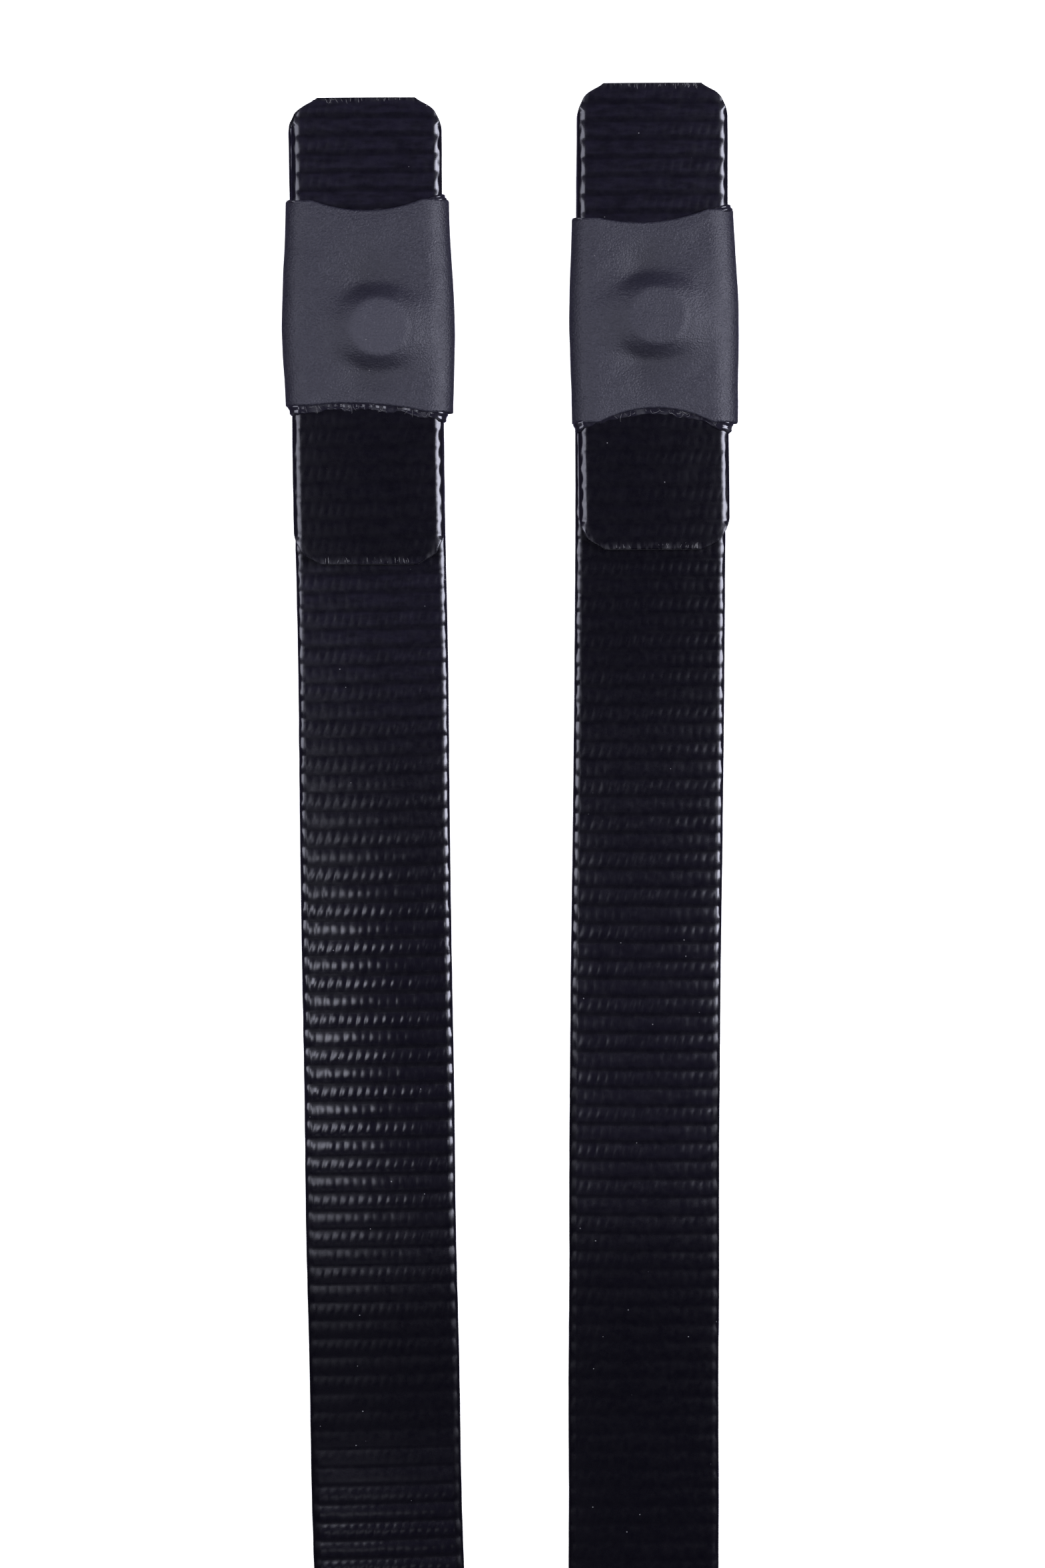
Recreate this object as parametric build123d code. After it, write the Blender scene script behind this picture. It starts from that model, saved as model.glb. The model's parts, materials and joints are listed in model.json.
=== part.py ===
from build123d import *
import math
import os

# A pair of flat straps for climbing skins, lying side by side on a flat surface.
# Each strap is coated webbing. Its end is doubled with a short tab of the same webbing,
# held by a binding post and screw and covered by a heat-shrink sleeve lined with glue.
#
# Millimetres. +Y runs along the straps towards the doubled ends, +Z is up, z = 0 is the
# surface they lie on, and the origin is the centre of the pair's footprint.

# Webbing
STRAP_WIDTH = 25.0
STRAP_THICK = 2.5
EDGE_RADIUS = 1.2
CORE_WIDTH = 23.4
CORE_THICK = 1.3
STRAP_LENGTH = 300.0

# Clipped corners of every cut end: how far in and how far down each facet reaches
CLIP_IN = 4.8
CLIP_DOWN = 4.6
KNEE_IN = 1.4
KNEE_DOWN = 1.6

# Bending places: a strap is four links joined by round knuckles
DOUBLED_LINK = 85.0
LINK_COUNT = 4
BEND_PITCH = (STRAP_LENGTH - DOUBLED_LINK) / (LINK_COUNT - 1)
KNUCKLE_OVERSIZE = 0.02
KNUCKLE_GAP = 0.33

# Tab: its two loose ends are relieved underneath so that they lift without rubbing
TAB_LENGTH = 77.2
LIFT_RELIEF = 0.3
LIFT_FROM_SLEEVE = 3.0

# Sleeve, its wall and the glue under it
SLEEVE_WALL = 0.7
GLUE_THICK = 0.2
SLEEVE_HALF_WIDTH = 13.3
SLEEVE_BULGE = 1.15
SLEEVE_CORNER = 2.5
BEAD_REACH_LOW = 1.2
BEAD_REACH_TOP = 0.5
BEAD_HEIGHT = 0.6
BEAD_SIDE = 0.35

# Binding post and screw
POST_HEAD_RADIUS = 4.6
POST_HEAD_THICK = 1.0
POST_HEAD_FILLET = 0.35
BARREL_RADIUS = 2.25
BARREL_BORE_RADIUS = 1.5
BARREL_HOLE_RADIUS = 2.3
SCREW_HEAD_RADIUS = 4.4
SCREW_HEAD_THICK = 0.95
SCREW_RECESS_RADIUS = 4.5
SCREW_RECESS_DEPTH = 1.0
SCREW_SHANK_RADIUS = 1.48
SLOT_WIDTH = 1.0
SLOT_DEPTH = 0.45
GLUE_OVER_HEAD = 0.1
BUMP_WALL_SIDE = 0.6
BUMP_FILLET = 0.5

# Heights, from the surface up
STRAP_BOTTOM = SLEEVE_WALL + GLUE_THICK
STRAP_MID = STRAP_BOTTOM + STRAP_THICK / 2
TAB_BOTTOM = STRAP_BOTTOM + STRAP_THICK
TAB_MID = TAB_BOTTOM + STRAP_THICK / 2
TAB_TOP = TAB_BOTTOM + STRAP_THICK
SLEEVE_HEIGHT = TAB_TOP + GLUE_THICK + SLEEVE_WALL
POST_TOP = TAB_TOP + POST_HEAD_THICK
BUMP_TOP = POST_TOP + GLUE_OVER_HEAD + SLEEVE_WALL

SURFACE_GAP = 0.01  # keeps the knuckles of the flat links off the surface
FAR = 60.0  # longer than any detail, for tools that cut right through
SPARE_ENDS = 5.0  # how far the sleeve tube is made too long before its ends are cut

# What differs between the two straps. Lengths are measured down from the strap's own
# doubled end, sideways ones from its middle, and a positive yaw leans the strap towards
# +X as it runs away from that end.
STRAPS = {
    "left": {
        "end_x": -24.6,
        "end_y": 148.85,
        "link_yaws": (1.05, 0.8, 1.05, 1.9),
        "tab_x": 0.62,
        "tab_yaw": 0.35,
        "sleeve_x": 0.6,
        "sleeve_yaw": 0.55,
        "sleeve_top": (17.1, 18.6, 17.1),
        "sleeve_low": (51.0, 50.9, 51.0),
        "post_x": 1.9,
        "post_down": 38.1,
    },
    "right": {
        "end_x": 23.48,
        "end_y": 151.3,
        "link_yaws": (-0.15, -0.65, -0.3, 0.4),
        "tab_x": 0.0,
        "tab_yaw": 0.25,
        "sleeve_x": -0.09,
        "sleeve_yaw": 0.45,
        "sleeve_top": (22.3, 23.2, 21.0),
        "sleeve_low": (56.3, 54.1, 56.3),
        "post_x": 0.55,
        "post_down": 38.6,
    },
}


# ---------------------------------------------------------------- placing

def direction(yaw, pitch=0.0):
    """The unit step along a link: away from the doubled end, down by the pitch."""
    level = math.cos(math.radians(pitch))
    return Vector(
        math.sin(math.radians(yaw)) * level,
        -math.cos(math.radians(yaw)) * level,
        -math.sin(math.radians(pitch)),
    )


def frame_at(point, yaw, pitch=0.0):
    return Pos(point.X, point.Y, point.Z) * Rot(0, 0, yaw) * Rot(pitch, 0, 0)


def link_lengths():
    return [DOUBLED_LINK] + [BEND_PITCH] * (LINK_COUNT - 1)


def strap_frames(strap):
    """A frame at the start of each link, in the middle of its thickness."""
    drop = math.degrees(math.asin((STRAP_BOTTOM - SURFACE_GAP) / BEND_PITCH))
    pitches = [0.0, drop] + [0.0] * (LINK_COUNT - 2)
    point = Vector(strap["end_x"], strap["end_y"], STRAP_MID)
    frames = []
    for yaw, pitch, length in zip(strap["link_yaws"], pitches, link_lengths()):
        frames.append(frame_at(point, yaw, pitch))
        point = point + direction(yaw, pitch) * length
    return frames


def tab_frame(strap):
    start = Vector(strap["end_x"] + strap["tab_x"], strap["end_y"], TAB_MID)
    return frame_at(start, strap["tab_yaw"])


def sleeve_frame(strap):
    """The sleeve's, glue's and post's frame, on the surface the straps lie on."""
    start = Vector(strap["end_x"] + strap["sleeve_x"], strap["end_y"], 0)
    return frame_at(start, strap["sleeve_yaw"])


def lift_pivots(strap):
    """How far down the tab its upper lip and its lower flap bend up."""
    lip = min(strap["sleeve_top"]) - LIFT_FROM_SLEEVE
    flap = max(strap["sleeve_low"]) + LIFT_FROM_SLEEVE
    return lip, flap


def hinge_points(strap):
    """Where each body of a strap bends, and the yaw of the axis across the strap there."""
    frames = strap_frames(strap)
    yaws = strap["link_yaws"]
    hinges = {}
    for number in range(1, LINK_COUNT):
        hinges[f"bend_{number}"] = (frames[number].position, yaws[number - 1])
    lip, flap = lift_pivots(strap)
    for name, down in (("lip", lip), ("flap", flap)):
        point = (tab_frame(strap) * Pos(0, -down, LIFT_RELIEF / 2)).position
        hinges[name] = (point, strap["tab_yaw"])
    return hinges


# ---------------------------------------------------------------- webbing

def bar(start, end, relief=0.0):
    """Webbing with rounded edges, from start to end down its length, in its own frame."""
    thick = STRAP_THICK - relief
    radius = EDGE_RADIUS * thick / STRAP_THICK
    section = Plane.XZ * RectangleRounded(STRAP_WIDTH, thick, radius)
    return Pos(0, -start, relief / 2) * extrude(section, amount=end - start)


def clip_corners(solid, down, towards_end):
    """Cut both corners of an end that lies down the length; the end faces +Y or -Y."""
    half = STRAP_WIDTH / 2
    outline = [
        (half - CLIP_IN, 0),
        (half - KNEE_IN, -KNEE_DOWN),
        (half, -CLIP_DOWN),
        (half + 1, -CLIP_DOWN),
        (half + 1, 1),
        (half - CLIP_IN, 1),
    ]
    for side in (1, -1):
        points = [(side * x, -down + towards_end * y) for x, y in outline]
        tool = extrude(make_face(Polyline(*points, close=True)), amount=FAR, both=True)
        solid = solid - tool
    return solid


def across(radius):
    """A cylinder across the webbing, centred on the frame's origin."""
    return Rot(0, 90, 0) * Cylinder(radius, FAR)


def knuckle(solid, down, thick, lift=0.0, facing=-1):
    """Round the end beyond the pivot so that it turns inside its neighbour's hollow."""
    radius = thick / 2 + KNUCKLE_OVERSIZE
    beyond = Pos(0, -down + facing * FAR / 2, 0) * Box(FAR, FAR, FAR)
    return solid - (beyond - Pos(0, -down, lift) * across(radius))


def hollow_radius(thick):
    return thick / 2 + KNUCKLE_OVERSIZE + KNUCKLE_GAP


def split_core(solid, frame):
    """The woven core and the coating around it."""
    inside = frame * Box(CORE_WIDTH, 4 * STRAP_LENGTH, CORE_THICK)
    return solid & inside, solid - inside


def strap_links(strap):
    frames = strap_frames(strap)
    lengths = link_lengths()
    links = []
    for number, (frame, length) in enumerate(zip(frames, lengths)):
        last = number == LINK_COUNT - 1
        link = bar(0, length if last else length + STRAP_THICK)
        if last:
            link = clip_corners(link, length, -1)
        else:
            link = knuckle(link, length, STRAP_THICK)
        if number == 0:
            link = clip_corners(link, 0, 1)
        link = frame * link
        if number > 0:
            point, yaw = hinge_points(strap)[f"bend_{number}"]
            link = link - frame_at(point, yaw) * across(hollow_radius(STRAP_THICK))
        links.append(link)
    return links


def tab_pieces(strap):
    """The clamped middle of the tab, its upper lip and its lower flap."""
    lip_at, flap_at = lift_pivots(strap)
    loose = STRAP_THICK - LIFT_RELIEF
    hollow = across(hollow_radius(loose))
    middle = bar(lip_at, flap_at)
    for down in (lip_at, flap_at):
        middle = middle - Pos(0, -down, LIFT_RELIEF / 2) * hollow
    lip = clip_corners(bar(0, lip_at + STRAP_THICK, LIFT_RELIEF), 0, 1)
    lip = knuckle(lip, lip_at, loose, LIFT_RELIEF / 2)
    flap = clip_corners(bar(flap_at - STRAP_THICK, TAB_LENGTH, LIFT_RELIEF), TAB_LENGTH, -1)
    flap = knuckle(flap, flap_at, loose, LIFT_RELIEF / 2, facing=1)
    frame = tab_frame(strap)
    return frame * middle, frame * lip, frame * flap


# ---------------------------------------------------------------- post and screw

def post_place(strap):
    return sleeve_frame(strap) * Pos(strap["post_x"], -strap["post_down"], 0)


def upright(radius, low, high):
    return Pos(0, 0, (low + high) / 2) * Cylinder(radius, high - low)


def binding_post(strap):
    head = upright(POST_HEAD_RADIUS, TAB_TOP, POST_TOP)
    head = fillet(head.edges().group_by(Axis.Z)[-1], POST_HEAD_FILLET)
    barrel_end = STRAP_BOTTOM + SCREW_RECESS_DEPTH + 0.1
    barrel = upright(BARREL_RADIUS, barrel_end, TAB_TOP)
    bore = upright(BARREL_BORE_RADIUS, 0, TAB_TOP - 0.6)
    return post_place(strap) * (head + barrel - bore)


def binding_screw(strap):
    top = STRAP_BOTTOM + SCREW_RECESS_DEPTH
    low = top - SCREW_HEAD_THICK
    head = upright(SCREW_HEAD_RADIUS, low, top)
    head = chamfer(head.edges().group_by(Axis.Z)[0], 0.2)
    shank = upright(SCREW_SHANK_RADIUS, top, TAB_TOP - 1.2)
    slot = Rot(0, 0, 35) * Pos(0, 0, low) * Box(FAR, SLOT_WIDTH, 2 * SLOT_DEPTH)
    return post_place(strap) * (head + shank - slot)


def post_hole(strap):
    recess = upright(SCREW_RECESS_RADIUS, 0, STRAP_BOTTOM + SCREW_RECESS_DEPTH)
    return post_place(strap) * (upright(BARREL_HOLE_RADIUS, 0, FAR) + recess)


# ---------------------------------------------------------------- sleeve and glue

def glue_tube(strap, inset, low, high, corner):
    """A long tube that swells over the post, between two heights, with round corners."""
    half = SLEEVE_HALF_WIDTH - inset
    top = SPARE_ENDS - min(strap["sleeve_top"])
    bottom = -SPARE_ENDS - max(strap["sleeve_low"])
    waist = -strap["post_down"]
    edges = [
        Line((-half, top), (half, top)),
        ThreePointArc((half, top), (half + SLEEVE_BULGE, waist), (half, bottom)),
        Line((half, bottom), (-half, bottom)),
        ThreePointArc((-half, bottom), (-half - SLEEVE_BULGE, waist), (-half, top)),
    ]
    block = Pos(0, 0, low) * extrude(make_face(Wire(edges)), amount=high - low)
    sides = [
        edge
        for edge in block.edges()
        if edge.bounding_box().size.Z < 0.01 and abs(edge.center().X) > half / 2
    ]
    return fillet(sides, corner)


def between_ends(strap, beyond_top=0.0, beyond_low=0.0):
    """Everything between the sleeve's two ends, which bow inwards in the middle."""
    top_left, top_mid, top_right = (beyond_top - down for down in strap["sleeve_top"])
    low_left, low_mid, low_right = (-beyond_low - down for down in strap["sleeve_low"])
    wide = SLEEVE_HALF_WIDTH + 1
    edges = [
        ThreePointArc((-wide, top_left), (0, top_mid), (wide, top_right)),
        Line((wide, top_right), (wide, low_right)),
        ThreePointArc((wide, low_right), (0, low_mid), (-wide, low_left)),
        Line((-wide, low_left), (-wide, top_left)),
    ]
    return extrude(make_face(Wire(edges)), amount=FAR, both=True)


def sleeve_parts(strap):
    """The heat-shrink sleeve and the glue that fills it, in the sleeve's frame."""
    low, high = SLEEVE_WALL, SLEEVE_HEIGHT - SLEEVE_WALL
    corner = SLEEVE_CORNER - SLEEVE_WALL
    ends = between_ends(strap)
    ends_with_beads = between_ends(strap, BEAD_REACH_TOP, BEAD_REACH_LOW)

    bump_at = Pos(strap["post_x"], -strap["post_down"], 0)
    head_space_radius = POST_HEAD_RADIUS + GLUE_OVER_HEAD
    head_space = bump_at * upright(head_space_radius, TAB_MID, POST_TOP + GLUE_OVER_HEAD)
    bump = upright(head_space_radius + BUMP_WALL_SIDE, SLEEVE_HEIGHT - 1, BUMP_TOP)
    bump = fillet(bump.edges().group_by(Axis.Z)[-1], BUMP_FILLET)

    outer = glue_tube(strap, 0, 0, SLEEVE_HEIGHT, SLEEVE_CORNER) & ends
    space = glue_tube(strap, SLEEVE_WALL, low, high, corner)
    sleeve = outer + bump_at * bump - space - head_space

    fill = (space & ends_with_beads) + head_space
    bead_low, bead_high = STRAP_BOTTOM - BEAD_HEIGHT, TAB_TOP + BEAD_HEIGHT
    bead = glue_tube(strap, SLEEVE_WALL - BEAD_SIDE, bead_low, bead_high, corner)
    return sleeve, fill + ((bead & ends_with_beads) - ends)


# ---------------------------------------------------------------- assembly

def one_strap(side, strap):
    nodes = {}
    links = strap_links(strap)
    middle, lip, flap = tab_pieces(strap)
    webbing = links[0] + middle
    hole = post_hole(strap)
    links[0] = links[0] - hole
    middle = middle - hole
    for number, (link, frame) in enumerate(zip(links, strap_frames(strap)), 1):
        core, coating = split_core(link, frame)
        nodes[f"{side}_strap_core_{number}"] = core
        nodes[f"{side}_strap_coating_{number}"] = coating
    for name, piece in (("tab", middle), ("tab_lip", lip), ("tab_flap", flap)):
        core, coating = split_core(piece, tab_frame(strap))
        nodes[f"{side}_{name}_core"] = core
        nodes[f"{side}_{name}_coating"] = coating
    nodes[f"{side}_binding_post"] = binding_post(strap)
    nodes[f"{side}_binding_screw"] = binding_screw(strap)
    sleeve, glue = sleeve_parts(strap)
    place = sleeve_frame(strap)
    nodes[f"{side}_heat_shrink_sleeve"] = place * sleeve - webbing
    nodes[f"{side}_hot_melt_glue"] = place * glue - webbing - nodes[f"{side}_binding_post"]
    return nodes


def build():
    nodes = {}
    for side, strap in STRAPS.items():
        nodes.update(one_strap(side, strap))
    return nodes


def main():
    os.makedirs("parts", exist_ok=True)
    nodes = build()
    for name, solid in nodes.items():
        export_step(solid, f"parts/{name}.step")
    box = Compound(children=list(nodes.values())).bounding_box()
    print("box", box.min, box.max)


main()
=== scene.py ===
import json
import math

import bpy
import numpy as np
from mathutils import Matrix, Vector


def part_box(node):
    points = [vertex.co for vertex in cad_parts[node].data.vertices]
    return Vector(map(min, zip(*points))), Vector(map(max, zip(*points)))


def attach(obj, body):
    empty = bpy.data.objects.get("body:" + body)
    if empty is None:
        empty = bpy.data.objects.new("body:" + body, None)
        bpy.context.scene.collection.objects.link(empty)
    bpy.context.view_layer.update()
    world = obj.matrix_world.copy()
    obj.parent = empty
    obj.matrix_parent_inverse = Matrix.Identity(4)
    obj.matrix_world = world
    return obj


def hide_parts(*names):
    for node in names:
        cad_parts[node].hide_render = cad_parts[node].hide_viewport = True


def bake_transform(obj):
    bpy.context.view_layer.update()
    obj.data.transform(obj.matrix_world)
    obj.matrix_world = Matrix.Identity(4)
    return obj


# A pair of coated-webbing straps for climbing skins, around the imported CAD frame.
# Lengths in this script are millimetres unless a name ends in _M. "down" or u is the
# distance along a strap from its doubled end, v is across it and w is up.

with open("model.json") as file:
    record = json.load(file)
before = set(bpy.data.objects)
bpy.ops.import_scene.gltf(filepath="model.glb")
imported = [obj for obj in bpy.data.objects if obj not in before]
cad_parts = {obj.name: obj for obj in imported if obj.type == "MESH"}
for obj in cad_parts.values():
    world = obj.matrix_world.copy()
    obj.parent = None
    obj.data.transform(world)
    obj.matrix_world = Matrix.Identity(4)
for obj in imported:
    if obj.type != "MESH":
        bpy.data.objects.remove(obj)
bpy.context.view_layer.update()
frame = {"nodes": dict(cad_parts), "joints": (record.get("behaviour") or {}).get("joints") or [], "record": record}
MM = 0.001

SIDES = ("left", "right")
JOINTS = {joint["name"]: joint for joint in frame["joints"]}
MOUNTS = {mount["name"]: mount for mount in frame["record"]["mounts"]}

# Webbing, as in the CAD
WIDTH = 25.0
THICK = 2.5
EDGE_RADIUS = 1.2
COATING = 0.6
CLIP_IN = 4.8
CLIP_DOWN = 4.6
KNEE_IN = 1.4
KNEE_DOWN = 1.6

# Weave that shows through the coating
RIB = 3.03
DOT = 1.47
RIB_HEIGHT = 0.1
DOT_HEIGHT = 0.042
ODD_ROW_SHARE = 0.55
GROOVE = 0.7
SLANT = 0.55
EDGE_BEAD = 0.1
BEAD_STAGGER = 0.05
CROWN = 0.42
TAB_WEAVE = 0.6
TAB_EDGE = 0.15
TAB_EASE = 0.14
EASE_FROM = 11.0
TAB_MATTE_EDGE = 11.6
SHOULDER_FROM = 11.2
SHOULDER_BLEND = 0.5
RIM_FROM = 10.9
RIM_BLEND = 0.5

# The finish along each side: pairs of model Y in mm and a share. They are chosen to be
# bright and dark where the photographed straps are, so part of that picture's lighting is in them.
# polish: shine of the upper face; the second share: fine scuffs with a painted sheen, a lighter tint strongest
# towards the top end; ribs: height of the weave; edges: their shine.
FINISH = {
    "left": {
        "polish": (
            (-85, 0.8), (-72, 0.0), (-54, 0.0), (-24, 0.95), (-5, 1.0), (10, 1.0),
            (27, 0.38), (42, 0.08), (60, 0.0),
        ),
        "scuffs_and_painted_sheen": ((15, 0.0), (35, 0.2), (55, 0.8), (70, 1.0), (73, 0.2), (100, 0.2), (128, 1.2)),
        "ribs": ((-88, 0.95), (-80, 0.45), (-70, 0.45), (-48, 1.0)),
        "edges": ((-50, 0.0), (-18, 1.0)),
    },
    "right": {
        "polish": ((-45, 0.0), (-25, 0.6), (10, 0.6), (55, 0.0)),
        "scuffs_and_painted_sheen": ((-60, 0.0), (-20, 0.3), (40, 0.2), (100, 0.2), (128, 1.1)),
        "ribs": ((-60, 0.45), (-42, 0.8), (60, 1.0)),
        "edges": ((-16, 0.0), (10, 1.0)),
    },
}
NO_POLISH = ((0, 0.0),)
MATTE_EDGE = 12.7
MATTE_BLEND = 0.8
VALLEY_CLEAR = 0.6
VALLEY_FROM = 0.56
VALLEY_BLEND = 0.26
SEAM_TUCK = 0.22
SEAM_DROP = 0.06
SWAY = 0.06
CUT_RADIUS = 0.18
EDGE_WAVE = 0.045
CORNER_EASE = 0.8
DUST_REACH = 1.5

# How far before and after a strap's hinge a blend between its two links would reach;
# it is passed to bend_piece, which leaves the pieces unbent.
STRAP_BEND = (7.0, 15.0)

# Mesh steps
RIB_ROWS = (0.0, 0.06, 0.13, 0.22, 0.32, 0.42, 0.5, 0.58, 0.68, 0.78, 0.87, 0.94)
COARSE_STEP = 0.8
TOP_COLUMNS = 160
LOW_COLUMNS = 40
ARC_COLUMNS = 7


# ---------------------------------------------------------------- small maths

def smooth(t):
    t = np.clip(t, 0.0, 1.0)
    return t * t * (3 - 2 * t)


def wobble(u, v, seed, length, count=6):
    """Smooth irregular waves of about unit height; length is their rough wavelength."""
    random = np.random.RandomState(seed)
    total = 0.0
    for _ in range(count):
        turn = random.uniform(0, 2 * math.pi)
        rate = 2 * math.pi / (length * random.uniform(0.6, 1.6))
        phase = random.uniform(0, 2 * math.pi)
        total = total + np.sin(rate * (math.cos(turn) * u + math.sin(turn) * v) + phase)
    return total / math.sqrt(count)


def joint_point(name):
    return Vector(JOINTS[name]["pos_m"]) / MM


def yaw_of_axis(name):
    """The lean of the strap at a hinge: its axis runs across the strap."""
    x, y, _ = JOINTS[name]["axis"]
    if x < 0:
        x, y = -x, -y
    return math.atan2(y, x)


# ---------------------------------------------------------------- centre lines

class Spine:
    """A strap's middle line: a chain of straight links whose corners are eased."""

    def __init__(self, points, ease):
        self.points = [Vector(point) for point in points]
        steps = [b - a for a, b in zip(self.points, self.points[1:])]
        lengths = [step.length for step in steps]
        self.length = sum(lengths)
        corners = np.cumsum(lengths)[:-1]
        samples = np.linspace(0.0, self.length, 1201)
        headings = np.array([step.normalized() for step in steps])
        tangent = np.tile(headings[0], (len(samples), 1))
        for corner, before, after in zip(corners, headings, headings[1:]):
            share = smooth((samples - corner + ease) / (2 * ease))[:, None]
            tangent = tangent + share * (after - before)
        gap = samples[1] - samples[0]
        middle = (tangent[1:] + tangent[:-1]) / 2 * gap
        place = np.vstack([np.zeros(3), np.cumsum(middle, axis=0)])
        self.samples = samples
        self.place = place + np.array(self.points[0])
        self.tangent = tangent

    def nearest(self, point):
        """The distance along the line at which it passes closest to a point."""
        return self.samples[np.linalg.norm(np.array(point) - self.place, axis=1).argmin()]

    def at(self, u):
        """Places, across directions and up directions for distances u."""
        place = np.stack([np.interp(u, self.samples, self.place[:, i]) for i in range(3)], 1)
        along = np.stack([np.interp(u, self.samples, self.tangent[:, i]) for i in range(3)], 1)
        along /= np.linalg.norm(along, axis=1)[:, None]
        across = np.cross(along, (0.0, 0.0, 1.0)) * -1
        across /= np.linalg.norm(across, axis=1)[:, None]
        up = np.cross(along, across)
        return place, across, up


def strap_spine(side):
    pivots = [joint_point(f"{side}_bend_{number}") for number in (1, 2, 3)]
    yaw = yaw_of_axis(f"{side}_bend_1")
    heading = Vector((math.sin(yaw), -math.cos(yaw), 0))
    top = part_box(f"{side}_strap_core_1")[1].y / MM
    start = pivots[0] - heading * ((top - pivots[0].y) / math.cos(yaw))
    end = Vector(MOUNTS[f"{side}_strap_tail"]["pos_m"]) / MM
    return Spine([start, *pivots, end], ease=26.0)


def tab_spine(side):
    lip, flap = joint_point(f"{side}_lip_lift"), joint_point(f"{side}_flap_lift")
    heading = (flap - lip).normalized()
    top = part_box(f"{side}_tab_lip_core")[1].y / MM
    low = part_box(f"{side}_tab_flap_core")[0].y / MM
    level = Vector((0, 0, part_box(f"{side}_tab_coating")[1].z / MM - THICK / 2))
    flat = Vector((1, 1, 0))
    start = (lip - heading * ((lip.y - top) / heading.y)) * flat + level
    end = (flap + heading * ((low - flap.y) / heading.y)) * flat + level
    middle = (start + end) / 2
    return Spine([start, middle, end], ease=10.0)


# ---------------------------------------------------------------- meshes

def finish_mesh(name, points, faces, materials, smooth_faces=None, indices=None, uvs=None):
    mesh = bpy.data.meshes.new(name)
    mesh.from_pydata((np.asarray(points) * MM).tolist(), [], faces)
    for material in materials:
        mesh.materials.append(material)
    count = len(mesh.polygons)
    flags = np.ones(count, bool) if smooth_faces is None else np.asarray(smooth_faces)
    mesh.polygons.foreach_set("use_smooth", flags)
    if indices is not None:
        mesh.polygons.foreach_set("material_index", np.asarray(indices, np.int32))
    if uvs is not None:
        layer = mesh.uv_layers.new(name="weave")
        corner_vertices = np.empty(len(mesh.loops), np.int32)
        mesh.loops.foreach_get("vertex_index", corner_vertices)
        layer.data.foreach_set("uv", np.asarray(uvs, np.float32)[corner_vertices].ravel())
    mesh.update()
    piece = bpy.data.objects.new(name, mesh)
    bpy.context.scene.collection.objects.link(piece)
    return piece


def add_attribute(piece, name, values):
    layer = piece.data.attributes.new(name, "FLOAT", "POINT")
    layer.data.foreach_set("value", np.asarray(values, np.float32).ravel())


def tube_faces(rows, columns):
    """Quads between rows of closed loops, facing out when loops run clockwise."""
    i, k = np.meshgrid(np.arange(rows - 1), np.arange(columns), indexing="ij")
    after = (k + 1) % columns
    quads = np.stack(
        [i * columns + k, (i + 1) * columns + k, (i + 1) * columns + after, i * columns + after],
        axis=-1,
    )
    return quads.reshape(-1, 4)


def steps_between(start, end, size):
    return np.linspace(start, end, max(2, int(round((end - start) / size)) + 1))


def rib_rows(start, end):
    """Distances closest together beside the grooves, so the grooves stay sharp."""
    ribs = np.arange(math.floor(start / RIB), math.ceil(end / RIB) + 1)
    rows = (ribs[:, None] + np.array(RIB_ROWS)[None]).ravel() * RIB
    rows = rows[(rows > start + 0.02) & (rows < end - 0.02)]
    return np.concatenate([[start], rows, [end]])


# ---------------------------------------------------------------- webbing

def half_width(down, length):
    """Half the strap's width, clipped at both cut ends in two facets each."""
    nearest = np.minimum(down, length - down)
    full = WIDTH / 2
    facets = [full - CLIP_IN, full - KNEE_IN, full]
    shifts = np.linspace(-CORNER_EASE, CORNER_EASE, 9)
    sharp = [np.interp(nearest + shift, [0, KNEE_DOWN, CLIP_DOWN], facets) for shift in shifts]
    return np.mean(sharp, axis=0)


def pillow(turns):
    """Rounded crests one unit high, one to a turn, with narrow grooves between them."""
    from_crest = 2 * np.abs(turns - np.round(turns))
    past = np.maximum(from_crest - GROOVE, 0)
    inside = np.minimum(from_crest, GROOVE)
    drop = inside ** 2 + 2 * GROOVE * past - GROOVE / (1 - GROOVE) * past ** 2
    return 1 - drop / GROOVE


def weave_height(u, v, seed):
    """Ribs across the strap with staggered floats on them: slanted on every other rib."""
    row = np.floor(u / RIB)
    within = u / RIB - row - 0.5
    swell = pillow(within)
    jitter = 0.07 * wobble(u, v, seed + 1, 14.0) + 0.03 * wobble(u, v, seed + 10, 4.0)
    slanted = pillow(v / DOT + SLANT * within + jitter)
    rounder = pillow(v / DOT + 0.5 + 0.12 * within + jitter)
    odd = np.mod(row, 2) > 0.5
    floats = np.where(odd, ODD_ROW_SHARE * rounder, slanted) * swell ** 0.7
    uneven = 1 + 0.14 * wobble(u, v, seed + 2, 9.0) + 0.08 * wobble(u, v, seed + 3, 2.6)
    lumps = 0.004 * wobble(u, v, seed + 11, 2.2)
    return RIB_HEIGHT * (swell - 1) + DOT_HEIGHT * floats * uneven + lumps


def edge_height(u, seed):
    """Beads where the ribs turn round the strap's edge."""
    row = np.floor(u / RIB)
    shift = np.where(np.mod(row, 2) > 0.5, BEAD_STAGGER, -BEAD_STAGGER)
    within = np.clip(u / RIB - row - 0.5 + shift, -0.5, 0.5)
    return EDGE_BEAD * pillow(within) * (1 + 0.15 * wobble(u, 0 * u, seed + 4, 11.0))


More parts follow.
